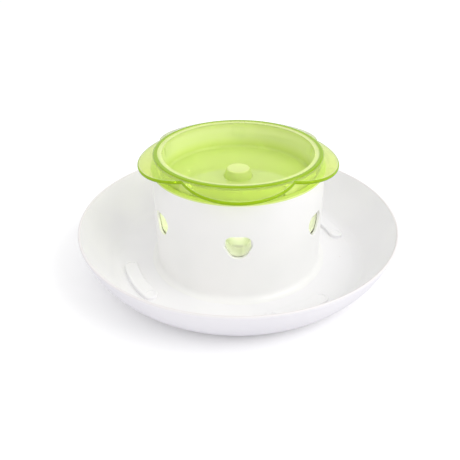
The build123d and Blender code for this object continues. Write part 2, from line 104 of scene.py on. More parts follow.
# ------------------------------------------------------------------ patterns
EVEN = (1.0, 1.0, 1.0)
NOISES = {  # patches to the metre, detail, stretch along x, y and z, and distortion
    "white_cloud": (14.0, 2.0, EVEN, 0.0),
    "white_wear": (55.0, 3.0, EVEN, 0.0),
    "orange_peel": (420.0, 0.0, EVEN, 0.0),
    "smear": (26.0, 3.0, EVEN, 1.2),
    "mould_flow": (60.0, 1.0, (1.0, 1.0, 0.4), 0.0),
    "green_cloud": (18.0, 2.0, EVEN, 0.0),
    "cup_sway": (30.0, 2.0, EVEN, 0.0),
    "guide_cloud": (60.0, 2.0, EVEN, 0.0),
    "guide_rub": (240.0, 3.0, (1.0, 1.0, 0.12), 0.0),
    "guide_grain": (1500.0, 2.0, EVEN, 0.0),
    "rubber_scuff": (110.0, 4.0, EVEN, 0.0),
    "rubber_grain": (2600.0, 2.0, EVEN, 0.0),
    "zinc_bloom": (300.0, 3.0, EVEN, 0.0),
    "zinc_lines": (1400.0, 2.0, (1.0, 1.0, 0.1), 0.0),
}
EDGES = {  # the share of a noise at which it starts to show, and at which it shows fully
    "white_cloud": (0.35, 0.65),
    "white_wear": (0.3, 0.7),
    "smear": (0.45, 0.75),
    "green_cloud": (0.3, 0.7),
    "guide_cloud": (0.35, 0.65),
    "guide_rub": (0.45, 0.7),
    "rubber_scuff": (0.4, 0.7),
    "zinc_bloom": (0.35, 0.7),
}
DEPTHS = {  # of the bumps, in millimetres
    "white_hairs": 0.001,
    "orange_peel": 0.006,
    "clear_hairs": 0.004,
    "mould_flow": 0.02,
    "guide_grain": 0.01,
    "rubber_grain": 0.03,
    "zinc_lines": 0.006,
}
HAIR_STRETCHES = ((1.0, 0.06, 0.3), (0.08, 1.0, 0.3))
HAIR_EDGE = 0.03
WHITE_HAIRS = {"scale": 900.0, "start": 0.8}
WHITE_HAIR_ROUGHNESS = 0.04
CLEAR_HAIRS = {"scale": 300.0, "start": 0.73}
CLEAR_HAIR_ROUGHNESS = 0.14
DUST_SCALE = 95.0  # cells to the metre
DUST_RARITY = (0.86, 0.88)  # of each cell's random number
DUST_SIZE = (0.03, 0.06)  # of a cell
DUST_STRENGTH = 0.35

# ------------------------------------------------------------------ roughness and clearness
TRAY_ROUGHNESS = 0.34
DRUM_ROUGHNESS = 0.32
SHINIER = 0.03  # the most that wear takes from the white plastic's roughness
DULLER = 0.09  # the most that wear adds to it
CLEAR_ROUGHNESS = (0.03, 0.11)
GUIDE_ROUGHNESS = (0.52, 0.34)
RUBBER_ROUGHNESS = (0.66, 0.86)
ZINC_ROUGHNESS = (0.24, 0.4)
ZINC_LINE_ROUGHNESS = 0.04
WHITE_IOR = 1.5
GREEN_IOR = 1.49
GUIDE_IOR = 1.48
RUBBER_IOR = 1.52
LID_DENSITY = 110.0  # per metre
CUP_DENSITY = 30.0
LID_CLEARNESS = 0.36
PETAL_CLEARNESS = 0.8
EDGE_CLEARNESS = 0.06
FROST_CLEARNESS = 0.25
CUP_CLEARNESS = 0.12
PLATE_CLEARNESS = 0.45

# ------------------------------------------------------------------ zones of colour, in millimetres
# painted shade over the tray's lip
LIP_SHADE_BAND = (43.2, 0.5, 0.5)  # middle height, half of its height, and the soft stretch beyond
LIP_RADII = (136.0, 138.0)
PETALS = {"count": 5, "tip": 84.4, "notch": 72.5}  # distances from the button's axis
LID_ZONES = {  # the stretch over which each one fades in or out
    "floor height": (82.0, 90.0),
    "wall radius": (66.0, 67.0),
    "petal radius": (70.9, 71.3),
    "edge depth": (0.9, 1.1),
    "ring radius": (67.2, 67.4),
    "ring height": (104.7, 105.0),
    "hub radius": (12.4, 14.4),
    "hub height": (81.4, 88.4),
}
# painted light on the dish's inner wall, over this band of heights
WALL_LIGHT_BAND = (96.0, 4.0, 8.0)
# a painted highlight line just inside the petals' edges
PAINTED_HIGHLIGHT_BAND = (1.55, 0.25, 0.2)
PAINTED_HIGHLIGHT_STRENGTH = 0.7
CUP_SWAY = 4.0
# painted light: the hopper is palest below these heights
CUP_MIDDLE_HEIGHTS = (58.0, 80.0)
CUP_RIM_HEIGHTS = (91.0, 92.2)

# ------------------------------------------------------------------ sockets that go by number
MIX_SHARE, MIX_FIRST, MIX_SECOND, MIX_COLOUR = 0, 6, 7, 2
RANDOM_LOW, RANDOM_HIGH, RANDOM_NUMBER = 2, 3, 1


# ------------------------------------------------------------------ node trees
class Tree:
    """A node tree that grows by a node with each call."""

    def __init__(self, tree):
        self.tree = tree

    def node(self, kind, inputs=(), **settings):
        """A node with its settings, and with its inputs linked or set."""
        made = self.tree.nodes.new(kind)
        for key, value in settings.items():
            setattr(made, key, value)
        for key, value in dict(inputs).items():
            self.feed(made.inputs[key], value)
        return made

    def feed(self, socket, value):
        """Links an output to a socket, or sets the socket to a plain value."""
        if isinstance(value, bpy.types.NodeSocket):
            self.tree.links.new(value, socket)
        else:
            socket.default_value = value

    def math(self, operation, *values):
        """One operation on one to three values."""
        return self.node("ShaderNodeMath", enumerate(values), operation=operation).outputs[0]

    def spread(self, value, low, high, start=0.0, end=1.0):
        """Maps the stretch of a value from start to end onto low to high, and holds it there."""
        return self.node("ShaderNodeMapRange", {"Value": value, "From Min": start, "From Max": end,
                                                "To Min": low, "To Max": high}).outputs["Result"]


# ------------------------------------------------------------------ finishes
class Finish(Tree):
    """One material: a Principled shader and the patterns that feed it, in object coordinates."""

    def __init__(self, name):
        self.material = bpy.data.materials.new(name)
        self.material.use_nodes = True
        super().__init__(self.material.node_tree)
        self.shader = self.tree.nodes["Principled BSDF"]
        self.place = self.node("ShaderNodeTexCoord").outputs["Object"]

    def set(self, **values):
        """Feeds the shader's inputs, with _ for a space in their names."""
        for key, value in values.items():
            self.feed(self.shader.inputs[key.replace("_", " ")], value)

    def rise(self, value, start, end):
        """0 up to the start and 1 from the end."""
        return self.spread(value, 0.0, 1.0, start, end)

    def fall(self, value, start, end):
        """1 up to the start and 0 from the end."""
        return self.spread(value, 1.0, 0.0, start, end)

    def band(self, value, middle, half, soft):
        """1 where a value lies within half of the middle, falling to 0 over the soft stretch."""
        apart = self.math("ABSOLUTE", self.math("SUBTRACT", value, middle))
        return self.fall(apart, half, half + soft)

    def both(self, first, second):
        """One value times another, so that two shares must both hold."""
        return self.math("MULTIPLY", first, second)

    def patches(self, scale, detail, stretch, distortion=0.0):
        """Soft random patches, as many to the metre as scale says."""
        spot = self.node("ShaderNodeMapping", {"Vector": self.place, "Scale": stretch})
        return self.node("ShaderNodeTexNoise", {
            "Vector": spot.outputs["Vector"], "Scale": scale, "Detail": detail,
            "Distortion": distortion}).outputs["Fac"]

    def noise(self, name):
        """One of the named noises."""
        return self.patches(*NOISES[name])

    def patchy(self, name):
        """One of the named noises, as patches from 0 to 1."""
        return self.rise(self.noise(name), *EDGES[name])

    def scratches(self, scale, start):
        """Fine short hairlines in two directions, 1 on a line."""
        lines = [self.rise(self.patches(scale, 0.0, stretch), start, start + HAIR_EDGE)
                 for stretch in HAIR_STRETCHES]
        return self.math("MAXIMUM", *lines)

    def mix(self, share, first, second):
        """A colour between two others."""
        return self.node("ShaderNodeMix", {MIX_SHARE: share, MIX_FIRST: first, MIX_SECOND: second},
                         data_type="RGBA").outputs[MIX_COLOUR]

    def bump(self, height, depth, under=None):
        """A bump of this depth in metres, laid over another one."""
        made = self.node("ShaderNodeBump", {"Height": height, "Distance": depth, "Strength": 1.0})
        if under is not None:
            self.feed(made.inputs["Normal"], under)
        return made.outputs["Normal"]

    def relief(self, name):
        """One of the named noises as a bump."""
        return self.bump(self.noise(name), DEPTHS[name] * MM)

    def scored(self, name, hairs, under):
        """Hairlines cut into another bump."""
        return self.bump(hairs, -DEPTHS[name] * MM, under)

    def axis(self, name):
        """One coordinate of the surface point, in metres."""
        return self.node("ShaderNodeSeparateXYZ", {"Vector": self.place}).outputs[name]

    def distance(self, first, second):
        """How far from the origin a point with these two coordinates lies."""
        squares = [self.math("POWER", side, 2.0) for side in (first, second)]
        return self.math("POWER", self.math("ADD", *squares), 0.5)

    def radius(self):
        """The surface point's distance from the z axis."""
        return self.distance(self.axis("X"), self.axis("Y"))


def white_plastic(name, main, shade, roughness):
    """Satin white moulded plastic with a faint orange peel, hairlines, specks of crumb dust, and
    painted shade that darkens the tray's lip.
    """
    finish = Finish(name)
    colour = finish.mix(finish.patchy("white_cloud"), main, shade)
    # painted shade: the lip band is coloured darker
    lip = finish.both(finish.band(finish.axis("Z"), *mm(*LIP_SHADE_BAND)),
                      finish.rise(finish.radius(), *mm(*LIP_RADII)))
    colour = finish.mix(lip, colour, TRAY_LIP_PAINTED_SHADE)
    dust = finish.node("ShaderNodeTexVoronoi", {"Vector": finish.place, "Scale": DUST_SCALE})
    speck = finish.both(finish.fall(dust.outputs["Distance"], *DUST_SIZE),
                        finish.rise(dust.outputs["Color"], *DUST_RARITY))
    colour = finish.mix(finish.both(speck, DUST_STRENGTH), colour, CRUMB_BROWN)
    hairs = finish.scratches(**WHITE_HAIRS)
    worn = finish.spread(finish.noise("white_wear"), roughness - SHINIER, roughness + DULLER,
                         *EDGES["white_wear"])
    worn = finish.math("ADD", worn, finish.both(hairs, WHITE_HAIR_ROUGHNESS))
    finish.set(Base_Color=colour, Roughness=worn, IOR=WHITE_IOR,
               Normal=finish.scored("white_hairs", hairs, finish.relief("orange_peel")))
    return finish.material


def clear_plastic(name, clearness, density):
    """The start of a clear plastic: smears, hairlines, and a colour that deepens with thickness."""
    finish = Finish(name)
    hairs = finish.scratches(**CLEAR_HAIRS)
    rough = finish.spread(finish.patchy("smear"), *CLEAR_ROUGHNESS)
    rough = finish.math("ADD", rough, finish.both(hairs, CLEAR_HAIR_ROUGHNESS))
    finish.set(Roughness=rough, IOR=GREEN_IOR, Transmission_Weight=clearness,
               Normal=finish.scored("clear_hairs", hairs, finish.relief("mould_flow")))
    shaded = finish.node("ShaderNodeMixShader", {
        0: finish.node("ShaderNodeLightPath").outputs["Is Shadow Ray"],
        1: finish.shader.outputs["BSDF"],
        2: finish.node("ShaderNodeBsdfTransparent", {"Color": GREEN_SHADOW}).outputs["BSDF"]})
    soak = finish.node("ShaderNodeVolumeAbsorption", {
        "Color": GREEN_ABSORPTION, "Density": density})
    out = finish.tree.nodes["Material Output"].inputs
    finish.feed(out["Surface"], shaded.outputs["Shader"])
    finish.feed(out["Volume"], soak.outputs["Volume"])
    return finish


def petal_depth(finish):
    """How far inside the petals' scalloped outline a point of the lid lies, in metres.

    Each petal ends in an arc through its tip and the notches on both sides of it.
    """
    half = math.radians(180 / PETALS["count"])
    turn = finish.math("ARCTAN2", finish.axis("X"), finish.math("MULTIPLY", finish.axis("Y"), -1.0))
    turn = finish.math("WRAP", turn, half, -half)
    radius = finish.radius()
    along = finish.math("MULTIPLY", radius, finish.math("COSINE", turn))
    across = finish.math("MULTIPLY", radius, finish.math("SINE", turn))
    tip, notch = PETALS["tip"], PETALS["notch"]
    notch_along, notch_across = notch * math.cos(half), notch * math.sin(half)
    middle = (tip**2 - notch_along**2 - notch_across**2) / (2 * (tip - notch_along))
    reach = finish.distance(finish.math("SUBTRACT", along, middle * MM), across)
    return finish.math("SUBTRACT", (tip - middle) * MM, reach)


def lid_plastic():
    """The button's green, frosted over the stem, with painted shade in the ring, along the petals'
    edges and over the dish floor, painted light on the dish's inner wall and a painted highlight
    just inside the petals' edges.
    """
    finish = clear_plastic("lid_green", LID_CLEARNESS, LID_DENSITY)
    radius, height, depth = finish.radius(), finish.axis("Z"), petal_depth(finish)
    zone = {name: mm(*ends) for name, ends in LID_ZONES.items()}
    # painted shade over the dish floor
    floor = finish.fall(height, *zone["floor height"])
    # painted light on the dish's inner wall
    wall = finish.both(finish.fall(radius, *zone["wall radius"]),
                       finish.band(height, *mm(*WALL_LIGHT_BAND)))
    petal = finish.rise(radius, *zone["petal radius"])
    # a painted highlight line just inside the petals' edges
    painted_highlight = finish.both(finish.band(depth, *mm(*PAINTED_HIGHLIGHT_BAND)), petal)
    # painted shade along the petals' edges and on the ring's top
    edge = finish.both(finish.fall(depth, *zone["edge depth"]), petal)
    ring = finish.both(finish.rise(height, *zone["ring height"]),
                       finish.rise(radius, *zone["ring radius"]))
    edge_and_ring_shade = finish.math("MAXIMUM", edge, ring)
    frost = finish.both(finish.fall(radius, *zone["hub radius"]),
                        finish.rise(height, *zone["hub height"]))
    colour = finish.mix(finish.patchy("green_cloud"), LID_GREEN, LID_GREEN_DEEP)
    for share, over in ((floor, LID_FLOOR_PAINTED_SHADE), (wall, LID_WALL_PAINTED_LIGHT),
                        (finish.both(painted_highlight, PAINTED_HIGHLIGHT_STRENGTH), LID_PAINTED_HIGHLIGHT),
                        (edge_and_ring_shade, LID_EDGE_PAINTED_SHADE), (frost, LID_FROST)):
        colour = finish.mix(share, colour, over)
    clear = finish.spread(petal, LID_CLEARNESS, PETAL_CLEARNESS)
    for share, least in ((edge_and_ring_shade, EDGE_CLEARNESS), (frost, FROST_CLEARNESS)):
        clear = finish.math("MINIMUM", clear, finish.spread(share, 1.0, least))
    finish.set(Base_Color=colour, Transmission_Weight=clear, Specular_Tint=GREEN_GLOSS)
    return finish.material


def cup_plastic():
    """The hopper's milky green, deeper towards its rim, with painted light that makes it pale
    below.
    """
    finish = clear_plastic("cup_green", CUP_CLEARNESS, CUP_DENSITY)
    height = finish.axis("Z")
    sway = finish.spread(finish.noise("cup_sway"), -CUP_SWAY * MM, CUP_SWAY * MM)
    # painted light: a paler colour low on the hopper's walls
    middle = finish.rise(finish.math("ADD", height, sway), *mm(*CUP_MIDDLE_HEIGHTS))
    wall = finish.mix(middle, CUP_PALE_PAINTED_LIGHT, CUP_MIDDLE_PAINTED_LIGHT)
    rim = finish.rise(height, *mm(*CUP_RIM_HEIGHTS))
    finish.set(Base_Color=finish.mix(rim, wall, CUP_GREEN_RIM))
    return finish.material


def plate_plastic():
    """The agitator's clear green."""
    finish = clear_plastic("plate_green", PLATE_CLEARNESS, CUP_DENSITY)
    finish.set(Base_Color=finish.mix(finish.patchy("green_cloud"), PLATE_GREEN, PLATE_GREEN_DEEP))
    return finish.material


def guide_plastic():
    """Natural white low-friction plastic with rubbed patches."""
    finish = Finish("natural_guide")
    finish.set(Base_Color=finish.mix(finish.patchy("guide_cloud"), GUIDE_WHITE, GUIDE_SHADE),
               Roughness=finish.spread(finish.patchy("guide_rub"), *GUIDE_ROUGHNESS),
               IOR=GUIDE_IOR, Normal=finish.relief("guide_grain"))
    return finish.material


def rubber(name, main, shade):
    """Matt rubber with a fine grain and scuffs."""
    finish = Finish(name)
    scuff = finish.patchy("rubber_scuff")
    finish.set(Base_Color=finish.mix(scuff, main, shade),
               Roughness=finish.spread(scuff, *RUBBER_ROUGHNESS),
               IOR=RUBBER_IOR, Normal=finish.relief("rubber_grain"))
    return finish.material


def zinc_steel():
    """Zinc plated steel with drawn lines and a patchy bloom."""
    finish = Finish("zinc_steel")
    bloom = finish.patchy("zinc_bloom")
    lines = finish.noise("zinc_lines")
    rough = finish.math("ADD", finish.spread(bloom, *ZINC_ROUGHNESS),
                        finish.spread(lines, -ZINC_LINE_ROUGHNESS, ZINC_LINE_ROUGHNESS))
    finish.set(Base_Color=finish.mix(bloom, ZINC_LIGHT, ZINC_DARK), Metallic=1.0, Roughness=rough,
               Normal=finish.bump(lines, DEPTHS["zinc_lines"] * MM))
    return finish.material


FINISHES = {
    "tray": white_plastic("tray_white", TRAY_WHITE, TRAY_GREY, TRAY_ROUGHNESS),
    "drum": white_plastic("drum_white", DRUM_WHITE, DRUM_SHADE, DRUM_ROUGHNESS),
    "lid": lid_plastic(),
    "cup": cup_plastic(),
    "plate": plate_plastic(),
    "guide": guide_plastic(),
    "foot": rubber("foot_rubber", RUBBER_GREY, RUBBER_DARK),
    "bumper": rubber("bumper_rubber", BUMPER_GREY, BUMPER_DARK),
    "steel": zinc_steel(),
}
NODE_FINISH = {
    "tray": "tray", "drum": "drum", "hopper": "cup", "button_dish": "lid", "agitator": "plate",
    "guide_tube": "guide", "pin_bush": "guide", "stem": "guide",
    "front_left_foot": "foot", "front_right_foot": "foot", "rear_left_foot": "foot",
    "rear_right_foot": "foot", "stop_bumper": "bumper", "spring_seat": "steel",
    "return_spring": "steel", "drum_screws": "steel", "agitator_screws": "steel",
    "guide_pin": "steel", "pin_washer": "steel", "pin_nut": "steel",
}


def coat(mesh, node):
    """Gives a mesh the finish of a CAD node, and no other."""
    mesh.materials.clear()
    mesh.materials.append(FINISHES[NODE_FINISH[node]])


for name in NODE_FINISH:
    coat(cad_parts[name].data, name)


# ------------------------------------------------------------------ small parts, in millimetres
DRUM_SCREWS = {"Count": 6, "Circle": 64.0, "First turn": math.radians(30)}
DRUM_SCREW = {"face": 1.0, "head": 1.6, "head_radius": 3.2, "tip": 14.0, "core": 1.12,
              "crest": 1.43}
PLATE_SCREWS = {"Count": 3, "Circle": 20.0, "First turn": 0.0}
PLATE_SCREW = {"face": 71.2, "head": 1.6, "head_radius": 2.6, "tip": 79.0, "core": 0.92,
               "crest": 1.19}
SCREW_SEED = 7
SCREW_PITCH = 1.1
SCREW_NECK = 0.3  # of the pitch, from the head to the thread
SCREW_NECK_STEP = 0.02
SCREW_TIP = 1.8
SCREW_TIP_SHARES = (0.9, 0.5, 0.12)  # of the core's radius, row by row
SCREW_TIP_BEND = 1.4
SCREW_TIP_REACH = 0.95  # of the tip's length
# A domed head: shares of its radius, and shares of its height over its face.
DOME_ROWS = ((0.72, 0.0), (0.87, 0.13), (0.96, 0.36), (1.0, 0.68), (1.0, 0.92), (0.97, 1.0))
# A sunk head: shares of its radius, and heights over its face.
SUNK_ROWS = ((0.9, 0.0), (0.98, 0.05), (1.0, 0.15), (0.98, 0.25))
CROSS_REACH = 0.55  # of the head's radius
CROSS_HALF = 0.15
# The cross recess: shares of its half width and of its reach, and heights over the head's face.
CROSS_ROWS = ((0.4, 0.35, 0.9), (0.8, 0.8, 0.35), (1.0, 1.0, 0.03), (1.15, 1.06, 0.0))
THREAD_FLANK = 0.32  # of the pitch
THREAD_ROWS = 9  # to each turn of a thread
PIN = {"bottom": 32.6, "top": 77.8, "radius": 2.0, "core": 1.72, "thread_top": 39.5, "pitch": 0.7,
       "point": 0.45, "point_height": 0.25, "thread_start": 0.3, "runout": 0.4, "chamfer": 0.3}
NUT = {"bottom": 33.8, "top": 37.0, "flats": 7.0, "bore": 2.03, "chamfer": 0.4, "sink": 0.3,
       "face": 1.01}  # the face as a share of the flats
NUT_SIDES = 96
WASHER = {"bottom": 37.0, "top": 38.0, "radius": 6.0, "bore": 2.05, "edge": 0.15}
SPRING = {"Turns": 9.0, "Coil radius": 6.7, "Wire radius": 0.6, "Low": 40.8, "High": 78.8,
          "Closing": 0.66}
SPRING_LENGTHS = ("Coil radius", "Wire radius", "Low", "High")
SPRING_STEPS = 40  # to each turn
WIRE_SIDES = 14
ROUND_SIDES = 64
SHARP = 32.0  # degrees, past which an edge isn't shaded smooth
SPRING_SHARP = 60.0
NUT_SHARP = 20.0
DRUM_SHARP = 28.0


def add_object(name, data):
    """A new object in the scene."""
    made = bpy.data.objects.new(name, data)
    bpy.context.scene.collection.objects.link(made)
    return made


def shape(name, mesh, sharp=SHARP):
    """An object with smooth shading, broken at edges sharper than this many degrees."""
    skin = bmesh.new()
    skin.from_mesh(mesh)
    bmesh.ops.recalc_face_normals(skin, faces=skin.faces)
    for face in skin.faces:
        face.smooth = True
    for edge in skin.edges:
        edge.smooth = edge.calc_face_angle(0.0) < math.radians(sharp)
    skin.to_mesh(mesh)
    skin.free()
    return add_object(name, mesh)


def turned(name, rows, ring=False, sides=ROUND_SIDES):
    """A closed skin about the z axis.

    Each row gives radius and height in millimetres for a turn in radians. The skin ends in two
    poles, or with ring it closes on itself round a bore.
    """
    skin = bmesh.new()
    loops = []
    for row in rows:
        loop = []
        for step in range(sides):
            turn = FULL_TURN * step / sides
            radius, height = row(turn)
            spot = Vector((radius * math.cos(turn), radius * math.sin(turn), height))
            loop.append(skin.verts.new(spot * MM))
        loops.append(loop)
    for low, high in zip(loops, loops[1:] + loops[:1] if ring else loops[1:]):
        for step in range(sides):
            after = (step + 1) % sides
            skin.faces.new((low[step], low[after], high[after], high[step]))
    if not ring:
        for loop in (loops[0], loops[-1]):
            pole = skin.verts.new(sum((vert.co for vert in loop), Vector()) / sides)
            for step in range(sides):
                skin.faces.new((loop[step], loop[(step + 1) % sides], pole))
    bmesh.ops.recalc_face_normals(skin, faces=skin.faces)
    mesh = bpy.data.meshes.new(name)
    skin.to_mesh(mesh)
    skin.free()
    return mesh


def level(radius, height):
    """A round row."""
    return lambda turn: (radius, height)


def cross(half, reach, height):
    """A row along the outline of a cross recess."""
    def row(turn):
        off = abs((turn + math.pi / 4) % (math.pi / 2) - math.pi / 4)
        if reach * math.tan(off) <= half:
            return reach / math.cos(off), height
        return half / math.sin(off), height
    return row


def hexagon(flats, most, height):
    """A row round a hexagon, cut back to a largest radius."""
    def row(turn):
        off = (turn + math.pi / 6) % (math.pi / 3) - math.pi / 6
        return min(flats / 2 / math.cos(off), most), height
    return row


def thread(core, crest, pitch, height):
    """A row through a thread, whose ridge climbs by the pitch in each turn."""
    def row(turn):
        share = (height / pitch - turn / FULL_TURN) % 1.0
        ridge = max(0.0, 1.0 - abs(share - 0.5) / THREAD_FLANK)
        return core + (crest - core) * ridge, height
    return row


def thread_rows(core, crest, pitch, low, high):
    """Rows along a thread, which fades out at both ends."""
    count = max(2, round((high - low) / pitch * THREAD_ROWS))
    rows = []
    for step in range(count + 1):
        share = step / count
        fade = min(1.0, share * count / THREAD_ROWS, (1.0 - share) * count / THREAD_ROWS)
        rows.append(thread(core, core + (crest - core) * fade, pitch, low + (high - low) * share))
    return rows


def screw_mesh(name, size, domed):
    """A cross-head screw that points upwards, with a domed or a countersunk head."""
    face, head, wide = size["face"], size["head"], size["head_radius"]
    core, crest, tip = size["core"], size["crest"], size["tip"]
    rows = [cross(wide * CROSS_HALF * half, wide * CROSS_REACH * reach, face + over)
            for half, reach, over in CROSS_ROWS]
    if domed:
        rows += [level(wide * share, face + head * up) for share, up in DOME_ROWS]
    else:
        rows += [level(wide * share, face + over) for share, over in SUNK_ROWS]
    low = face + head + SCREW_PITCH * SCREW_NECK
    rows += [level(crest, face + head), level(core, low - SCREW_NECK_STEP)]
    rows += thread_rows(core, crest, SCREW_PITCH, low, tip - SCREW_TIP)
    rows += [level(core * share, tip - SCREW_TIP * share**SCREW_TIP_BEND * SCREW_TIP_REACH)
             for share in SCREW_TIP_SHARES]
    return turned(name, rows)


# ------------------------------------------------------------------ geometry nodes
class Growth(Tree):
    """A geometry node tree with named inputs."""

    def __init__(self, name, **inputs):
        super().__init__(bpy.data.node_groups.new(name, "GeometryNodeTree"))
        for title, kind in inputs.items():
            self.socket(title.replace("_", " "), kind, "INPUT")
        self.socket("Geometry", "Geometry", "OUTPUT")
        self.given = self.tree.nodes.new("NodeGroupInput").outputs

    def socket(self, title, kind, way):
        """Adds an input or the output of the tree."""
        self.tree.interface.new_socket(name=title, in_out=way, socket_type=f"NodeSocket{kind}")

    def point(self, x=0.0, y=0.0, z=0.0):
        """Three values as one vector."""
        return self.node("ShaderNodeCombineXYZ", {"X": x, "Y": y, "Z": z}).outputs[0]

    def finish(self, geometry):
        """Ends the tree in real geometry with its material."""
        real = self.node("GeometryNodeRealizeInstances", {"Geometry": geometry})
        coated = self.node("GeometryNodeSetMaterial", {
            "Geometry": real.outputs["Geometry"], "Material": self.given["Material"]})
        self.node("NodeGroupOutput", {"Geometry": coated.outputs["Geometry"]})
        return self.tree


def spread_tree():
    """Repeats the object's own mesh on a circle about the z axis, each copy turned by chance."""
    growth = Growth("spread_on_a_circle", Geometry="Geometry", Count="Int", Circle="Float",
                    First_turn="Float", Seed="Int", Material="Material")
    given = growth.given
    each = growth.math("DIVIDE", FULL_TURN, given["Count"])
    index = growth.node("GeometryNodeInputIndex").outputs[0]
    angle = growth.math("ADD", growth.math("MULTIPLY", index, each), given["First turn"])
    back = growth.math("MULTIPLY", given["Circle"], -1.0)
    across = growth.math("MULTIPLY", growth.math("SINE", angle), given["Circle"])
    along = growth.math("MULTIPLY", growth.math("COSINE", angle), back)
    points = growth.node("GeometryNodePoints", {
        "Count": given["Count"], "Position": growth.point(across, along)})
    chance = growth.node("FunctionNodeRandomValue", {
        RANDOM_LOW: 0.0, RANDOM_HIGH: FULL_TURN, "Seed": given["Seed"]}, data_type="FLOAT")
    copies = growth.node("GeometryNodeInstanceOnPoints", {
        "Points": points.outputs[0], "Instance": given["Geometry"],
        "Rotation": growth.point(z=chance.outputs[RANDOM_NUMBER])})
    return growth.finish(copies.outputs["Instances"])


def coil_tree():
    """A compression spring that stands on the z axis, its end turns wound closer."""
    growth = Growth("coil_spring", Turns="Float", Coil_radius="Float", Wire_radius="Float",
                    Low="Float", High="Float", Closing="Float", Material="Material")
    given = growth.given
    coil = growth.node("GeometryNodeCurveSpiral", {
        "Resolution": SPRING_STEPS, "Rotations": given["Turns"], "Height": 1.0,
        "Start Radius": given["Coil radius"], "End Radius": given["Coil radius"]})
    along = growth.node("GeometryNodeSplineParameter").outputs["Factor"]
    wave = growth.math("SINE", growth.math("MULTIPLY", along, FULL_TURN))
    closing = growth.math("DIVIDE", given["Closing"], FULL_TURN)
    share = growth.math("SUBTRACT", along, growth.math("MULTIPLY", wave, closing))
    low = growth.math("ADD", given["Low"], given["Wire radius"])
    high = growth.math("SUBTRACT", given["High"], given["Wire radius"])
    spot = growth.node("ShaderNodeSeparateXYZ", {
        "Vector": growth.node("GeometryNodeInputPosition").outputs[0]}).outputs
    wound = growth.node("GeometryNodeSetPosition", {
        "Geometry": coil.outputs[0],
        "Position": growth.point(spot["X"], spot["Y"], growth.spread(share, low, high))})
    wire = growth.node("GeometryNodeCurvePrimitiveCircle", {
        "Resolution": WIRE_SIDES, "Radius": given["Wire radius"]})
    made = growth.node("GeometryNodeCurveToMesh", {
        "Curve": wound.outputs[0], "Profile Curve": wire.outputs[0], "Fill Caps": True})
    return growth.finish(made.outputs[0])


def grown(name, tree, values, base=None):
    """The plain mesh that a tree gives for these inputs, from a mesh or from nothing."""
    start = add_object(name, base or bpy.data.meshes.new(name))
    growth = start.modifiers.new("growth", "NODES")
    growth.node_group = tree
    for socket in tree.interface.items_tree:
        if socket.in_out == "INPUT" and socket.name in values:
            growth[socket.identifier] = values[socket.name]
    bpy.context.view_layer.update()
    graph = bpy.context.evaluated_depsgraph_get()
    mesh = bpy.data.meshes.new_from_object(start.evaluated_get(graph), depsgraph=graph)
    bpy.data.objects.remove(start)
    return mesh


def tree_inputs(values, lengths):
    """Inputs for a tree, in steel, with those that are lengths turned to metres."""
    inputs = {key: value * MM if key in lengths else value for key, value in values.items()}
    return {**inputs, "Material": FINISHES["steel"]}


def stand_in(piece, body, node):
    """Lets a piece ride a body in the place of a CAD node, in that node's finish."""
    coat(piece.data, node)
    for face in piece.data.polygons:
        face.material_index = 0
    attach(piece, body)
    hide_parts(node)
    return piece


def make_screws():
    """Six countersunk screws under the drum and three domed ones under the agitator."""
    tree = spread_tree()
    for body, node, size, domed, places in (
            ("base", "drum_screws", DRUM_SCREW, False, DRUM_SCREWS),
            ("button", "agitator_screws", PLATE_SCREW, True, PLATE_SCREWS)):
        inputs = {**tree_inputs(places, ("Circle",)), "Seed": SCREW_SEED}
        mesh = grown(node, tree, inputs, screw_mesh(node, size, domed))
        stand_in(shape(f"{node}_threaded", mesh), body, node)


def make_spring():
    """The return spring, at one length; in the dispenser it shortens as the button goes down."""
    mesh = grown("return_spring", coil_tree(), tree_inputs(SPRING, SPRING_LENGTHS))
    spring = stand_in(shape("return_spring_wound", mesh, SPRING_SHARP), "guide", "return_spring")
    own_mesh(spring)


def make_pin():
    """The guide pin, with a thread at its lower end."""
    low, high, wide, core = (PIN[key] for key in ("bottom", "top", "radius", "core"))
    rows = [level(wide - PIN["point"], low), level(core, low + PIN["point_height"])]
    rows += thread_rows(core, wide, PIN["pitch"], low + PIN["thread_start"], PIN["thread_top"])
    rows += [level(wide, PIN["thread_top"] + PIN["runout"]), level(wide, high - PIN["chamfer"]),
             level(wide - PIN["chamfer"], high)]
    stand_in(shape("guide_pin_threaded", turned("guide_pin", rows)), "button", "guide_pin")


def make_nut():
    """The nut on the guide pin."""
    low, high, flats, bore = (NUT[key] for key in ("bottom", "top", "flats", "bore"))
    chamfer, sunk, face = NUT["chamfer"], bore + NUT["sink"], flats / 2 * NUT["face"]
    rows = [level(bore, high), level(bore, low), level(sunk, low), hexagon(flats, face, low),
            hexagon(flats, flats, low + chamfer), hexagon(flats, flats, high - chamfer),
            hexagon(flats, face, high), level(sunk, high)]
    mesh = turned("pin_nut", rows, ring=True, sides=NUT_SIDES)
    stand_in(shape("pin_nut_chamfered", mesh, NUT_SHARP), "button", "pin_nut")


def make_washer():
    """The washer on the nut."""
    low, high, wide, bore, edge = (WASHER[key]
                                   for key in ("bottom", "top", "radius", "bore", "edge"))
    rows = [level(bore, high - edge), level(bore, low + edge), level(bore + edge, low),
            level(wide - edge, low), level(wide, low + edge), level(wide, high - edge),
            level(wide - edge, high), level(bore + edge, high)]
    mesh = turned("pin_washer", rows, ring=True)
    stand_in(shape("pin_washer_rolled", mesh), "button", "pin_washer")


# ------------------------------------------------------------------ drum with its foot run out
# Radii and heights in millimetres, with the step down to the tray and what is left of it.
DRUM_FOOT = {"start": 74.0, "toe": 79.2, "floor": 3.6, "over_floor": 0.01, "height": 12.0,
             "step": 0.5, "left": 0.06}
DRUM_FOOT_BEND = 3
MERGE_WITHIN = 0.002


